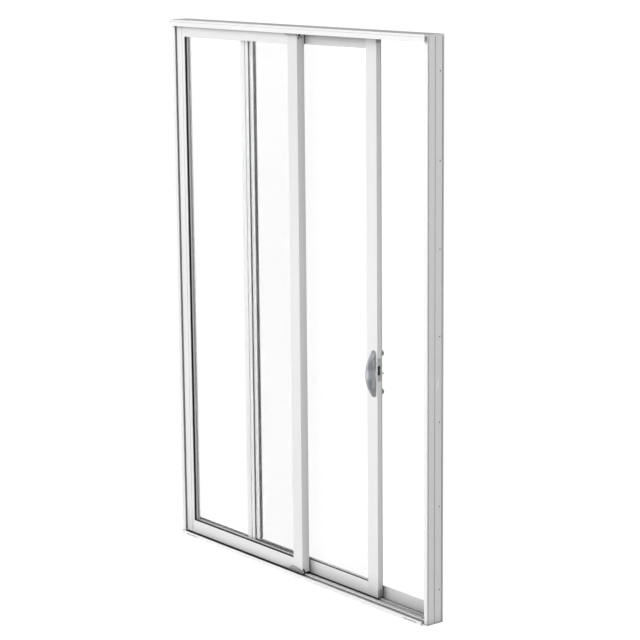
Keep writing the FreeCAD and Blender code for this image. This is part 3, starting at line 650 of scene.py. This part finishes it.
def makeRearTrim(values):
    stile = box("sliding_meeting_stile")[1].x
    glassLow, glassHigh = box("sliding_glass")
    top = box("sliding_top_rail")[0].z
    foot = box("sliding_bottom_rail")[1].z
    seam = stile + values["seam"]
    mesh = bmesh.new()
    addBlock(
        mesh, (seam, glassHigh.y + values["trimNear"], foot),
        (seam + values["trim"], glassHigh.y + values["trimFar"], top), values["trimEdge"],
    )
    addPiece("rearGlazingTrim", mesh, "gasketBlack", "sliding_panel")
    mesh = bmesh.new()
    addBlock(
        mesh, (stile + values["gap"], glassLow.y - values["beadFar"], foot),
        (stile + values["bead"], glassLow.y - values["beadNear"], top), values["beadEdge"],
    )
    addPiece("rearGlazingBead", mesh, "innerPaint", "sliding_panel")


makeRearTrim(rearTrim)

# Two screw heads on the lock's faceplate
plateScrews = {"radius": 0.0032, "height": 0.0008, "inset": 0.008, "sunk": 0.0001}


def makePlateScrews(values):
    low, high = box("lock_faceplate")
    start = (high.x, (low.y + high.y) / 2, low.z + values["inset"])
    mesh = bmesh.new()
    addDisc(mesh, (-values["sunk"], 0, 0), values["radius"], values["height"])
    row = (2, start, (0, 0, high.z - low.z - 2 * values["inset"]))
    addPiece("faceplateScrews", mesh, "brushedSteel", "sliding_panel", row)


makePlateScrews(plateScrews)

# Dark plugs at the top of the fixed meeting stile: Y, Z and radius of each
headPlugs = {
    "places": ((-0.0223, 2.3998, 0.00567), (-0.0273, 2.3886, 0.00336), (-0.0122, 2.3905, 0.00357)),
    "height": 0.0007,
    "sunk": 0.0001,
}


def makeHeadPlugs(values):
    side = box("fixed_meeting_stile")[1].x
    mesh = bmesh.new()
    for y, z, radius in values["places"]:
        addDisc(mesh, (side - values["sunk"], y, z), radius, values["height"])
    addPiece("stileHeadScrews", mesh, "capBlack", "frame")


makeHeadPlugs(headPlugs)

# Foot of the fixed meeting stile: dark packing on its side, at its base and round the corner block; the black under
# the block is painted shade for the gap there
footPackingAndShade = {
    "thick": 0.0008,
    "foot": ((-0.0352, 0.0370), (-0.0275, 0.0370), (-0.0180, 0.0162), (-0.0268, 0.0162)),  # Y and Z
    "baseFront": -0.0176,
    "baseTopFront": -0.0190,
    "baseHigh": 0.0042,
    "blockFront": 0.0015,  # in front of the corner block, under it and up its face
    "blockUnder": 0.004,
    "blockOver": 0.003,
    "edge": 0.0003,
}


def makeFootPackingAndShade(values):
    low, high = box("fixed_meeting_stile")
    blockLow, blockHigh = box("fixed_corner_block")
    side, outer = high.x, high.x + values["thick"]
    baseTop = low.z + values["baseHigh"]
    base = ((values["baseFront"], low.z), (high.y, low.z), (high.y, baseTop), (values["baseTopFront"], baseTop))
    mesh = bmesh.new()
    addPrism(mesh, values["foot"], side, outer)
    addPrism(mesh, base, side, outer)
    addBlock(
        mesh, (blockLow.x, blockLow.y - values["blockFront"], blockLow.z - values["blockUnder"]),
        (blockHigh.x, blockLow.y, blockLow.z + values["blockOver"]), values["edge"],
    )
    addPiece("stileFootPackingAndShade", mesh, "gasketBlack", "frame")


makeFootPackingAndShade(footPackingAndShade)

# Head of the fixed meeting stile: a grey strip under the small block
headStrip = {"gap": 0.001, "high": 0.006, "edge": 0.0004}


def makeHeadStrip(values):
    low, high = box("fixed_meeting_stile")
    block = box("fixed_top_block")[0]
    mesh = bmesh.new()
    addBlock(
        mesh, (block.x + values["gap"], block.y, block.z - values["high"]),
        (high.x, low.y, block.z), values["edge"],
    )
    addPiece("stileHeadStrip", mesh, "stripGrey", "frame")


makeHeadStrip(headStrip)

# Pile pads that close the ends of the interlock, their black also painted shade for the gap beside the rails behind:
# foot and top of each
interlock = {"spans": ((0.016, 0.071), (2.364, 2.404)), "wide": 0.006, "proud": 0.0003, "deep": 0.0040, "edge": 0.0003}


def makeInterlockPadShades(values):
    high = box("fixed_meeting_stile")[1]
    mesh = bmesh.new()
    for foot, top in values["spans"]:
        addBlock(
            mesh, (high.x - values["wide"], high.y, foot),
            (high.x + values["proud"], high.y + values["deep"], top), values["edge"],
        )
    addPiece("interlockPadShades", mesh, "gasketBlack", "frame")


makeInterlockPadShades(interlock)

# Painted shade: dark strips in the grooves of the right jamb's outer face stand in for the shadow in them; their
# middles in Y
grooveShadeStrips = {"places": (-0.0377, -0.0027, 0.0353), "wide": 0.0020, "sunk": 0.0003, "thick": 0.0009, "short": 0.001}


def makeGrooveShadeStrips(values):
    low, high = box("right_jamb")
    top = high.x - values["sunk"]
    mesh = bmesh.new()
    for y in values["places"]:
        addBlock(
            mesh, (top - values["thick"], y - values["wide"] / 2, low.z + values["short"]),
            (top, y + values["wide"] / 2, high.z - values["short"]),
        )
    addPiece("jambGrooveShade", mesh, "grooveGrey", "frame")


makeGrooveShadeStrips(grooveShadeStrips)

# Dark joint lines beside the glazing beads of the left stile and of the rear stile
beadLines = {
    "thick": 0.0002,
    "into": 0.0002,
    "short": 0.001,
    "left": (0.0183, 0.0012, 0.0001),  # in from the stile's edge, width, and how far it is sunk
    "rear": (0.0200, 0.0030, 0.0),
}


def makeBeadLines(values):
    for name, node, body, (inset, wide, sunk) in (
        ("leftBeadLine", "fixed_left_stile", "frame", values["left"]),
        ("rearBeadLine", "sliding_meeting_stile", "sliding_panel", values["rear"]),
    ):
        low, high = box(node)
        edge = high.x - inset
        mesh = bmesh.new()
        addBlock(
            mesh, (edge - wide, low.y - values["thick"] + sunk, low.z + values["short"]),
            (edge, low.y + sunk + values["into"], high.z - values["short"]),
        )
        addPiece(name, mesh, "grooveGrey", body)


makeBeadLines(beadLines)

# White plugs with a sloping end in the front row of the right jamb's holes
jambRows = {"rows": 7, "first": 0.145, "pitch": 0.358}
plugs = {"radius": 0.0032, "line": -0.031, "lean": 0.0030, "deep": 0.0060, "flush": 0.0003, "steps": 24}


def makePlugs(values, rows):
    outer = box("right_jamb")[1].x
    radius = values["radius"]
    mesh = bmesh.new()
    front = addCircle(mesh, (0, 0, 0), axes["Y"], axes["Z"], radius, values["steps"])
    back = addCircle(mesh, (-values["deep"], 0, 0), axes["Y"], axes["Z"], radius, values["steps"])
    for vert in front:
        vert.co.x = -values["flush"] - values["lean"] * (1 - vert.co.y / radius) / 2
    bridge(mesh, (front, back))
    mesh.faces.new(front)
    mesh.faces.new(list(reversed(back)))
    row = (rows["rows"], (outer, values["line"], rows["first"]), (0, 0, rows["pitch"]))
    addPiece("jambPlugs", mesh, "brightPlug", "frame", row)


makePlugs(plugs, jambRows)

# Ramp between the sill's rails, ridge of the front rail, cover of the back rail, and the seal behind the nose, whose
# black is also painted shade for the gap under the fixed panel
sillStrips = {
    "start": 0.042,  # X
    "stop": 0.860,
    "railTop": 0.012,  # Z
    "backRail": 0.02125,  # Y
    "railHalf": 0.0014,
    "cap": 0.00015,
    "ramp": ((-0.0185, 0.0050), (-0.0185, 0.0056), (-0.0030, 0.0104), (-0.0030, 0.0050)),  # Y and Z
    "ridge": ((-0.0255, 0.0100), (-0.0252, 0.0125), (-0.0235, 0.0145), (-0.0208, 0.0145), (-0.0200, 0.0100),
              (-0.0211, 0.0100), (-0.0211, 0.0121), (-0.0244, 0.0121), (-0.0244, 0.0100)),
    "bead": ((-0.8600, -0.0603, 0.0168), (0.0440, -0.0572, 0.0192)),  # lowest and highest corner
    "lift": ((-0.0980, -0.0600, 0.0168), (0.0480, -0.0572, 0.0225)),
    "edge": 0.0003,
}


def makeSillStrips(values):
    start, stop = values["start"], values["stop"]
    rail, half, top = values["backRail"], values["railHalf"], values["railTop"]
    mesh = bmesh.new()
    addPrism(mesh, values["ramp"], start, stop)
    addPrism(mesh, values["ridge"], start, stop)
    addBlock(mesh, (start, rail - half, top), (stop, rail + half, top + values["cap"]))
    addPiece("sillStrips", mesh, "innerPaint", "frame")
    mesh = bmesh.new()
    addBlock(mesh, *values["bead"], values["edge"])
    addBlock(mesh, *values["lift"], values["edge"])
    addPiece("noseSealAndShade", mesh, "gasketBlack", "frame")


makeSillStrips(sillStrips)

# Painted light: pale pads, whiter than the stile's paint, line the two openings in the handle's base so that they look
# lit
fingerLightPads = {"half": 0.0075, "front": 0.0029, "near": 0.0175, "far": 0.0795, "middle": 1.0, "edge": 0.0003}


def makeFingerLightPads(values):
    low, high = box("pull_handle")
    middle = (low.x + high.x) / 2
    face = box("sliding_lock_stile")[0].y
    mesh = bmesh.new()
    for side in (-1, 1):
        foot, top = sorted(values["middle"] + side * values[name] for name in ("near", "far"))
        addBlock(
            mesh, (middle - values["half"], values["front"], foot),
            (middle + values["half"], face, top), values["edge"],
        )
    addPiece("fingerLightPads", mesh, "brightPlug", "sliding_panel")


makeFingerLightPads(fingerLightPads)

# Dark rings round the ends of the back posts
postRings = {"outer": 0.0118, "into": 0.0002, "length": 0.0035, "short": 0.0001, "steps": 32}


def makePostRings(values):
    low, high = box("back_posts")
    radius = (high.x - low.x) / 2
    inner, outer = radius - values["into"], values["outer"]
    stop = -values["short"]
    start = stop - values["length"]
    mesh = bmesh.new()
    rings = [
        addCircle(mesh, (0, y, 0), axes["X"], axes["Z"], size, values["steps"])
        for size, y in ((inner, start), (outer, start), (outer, stop), (inner, stop))
    ]
    bridge(mesh, rings + rings[:1])
    row = (2, ((low.x + high.x) / 2, high.y, low.z + radius), (0, 0, high.z - low.z - 2 * radius))
    addPiece("postRings", mesh, "capBlack", "sliding_panel", row)


makePostRings(postRings)

# Painted shade: a black rim round the latch's two-lobed slot widens the dark of the slot
slotShadeRim = {
    "lobe": 0.0062,  # radius
    "rim": 0.0014,
    "thick": 0.0003,
    "sunk": 0.0002,
    "upper": 1.0280,  # Z of the lobes
    "lower": 1.0015,
    "line": 0.0175,  # Y
    "waist": 0.0052,  # from the line to the middle of each bar between the lobes
    "barHalf": 0.0010,
    "barInto": 0.7,  # share of the lobe's radius where a bar starts
    "steps": 28,
}


def makeSlotShadeRim(values):
    face = box("lock_faceplate")[1].x
    back, front = face - values["sunk"], face + values["thick"]
    lobe, rim = values["lobe"], values["lobe"] + values["rim"]
    mesh = bmesh.new()
    for z in (values["upper"], values["lower"]):
        bridge(mesh, [
            addCircle(mesh, (x, values["line"], z), axes["Y"], axes["Z"], radius, values["steps"])
            for radius, x in ((lobe, back), (lobe, front), (rim, front), (rim, back))
        ])
    foot = values["lower"] + lobe * values["barInto"]
    top = values["upper"] - lobe * values["barInto"]
    for side in (-1, 1):
        y = values["line"] + side * values["waist"]
        addBlock(mesh, (back, y - values["barHalf"], foot), (front, y + values["barHalf"], top))
    addPiece("latchSlotShadeRim", mesh, "capBlack", "sliding_panel")


makeSlotShadeRim(slotShadeRim)

# Dark screw heads in the back row of the right jamb's holes
jambScrews = {"radius": 0.0031, "line": 0.0238, "depth": 0.0022, "height": 0.0009}


def makeJambScrews(values, rows):
    outer = box("right_jamb")[1].x
    mesh = bmesh.new()
    addDisc(mesh, (-values["depth"], 0, 0), values["radius"], values["height"])
    row = (rows["rows"], (outer, values["line"], rows["first"]), (0, 0, rows["pitch"]))
    addPiece("jambScrews", mesh, "capBlack", "frame", row)


makeJambScrews(jambScrews, jambRows)
print("added pieces made")
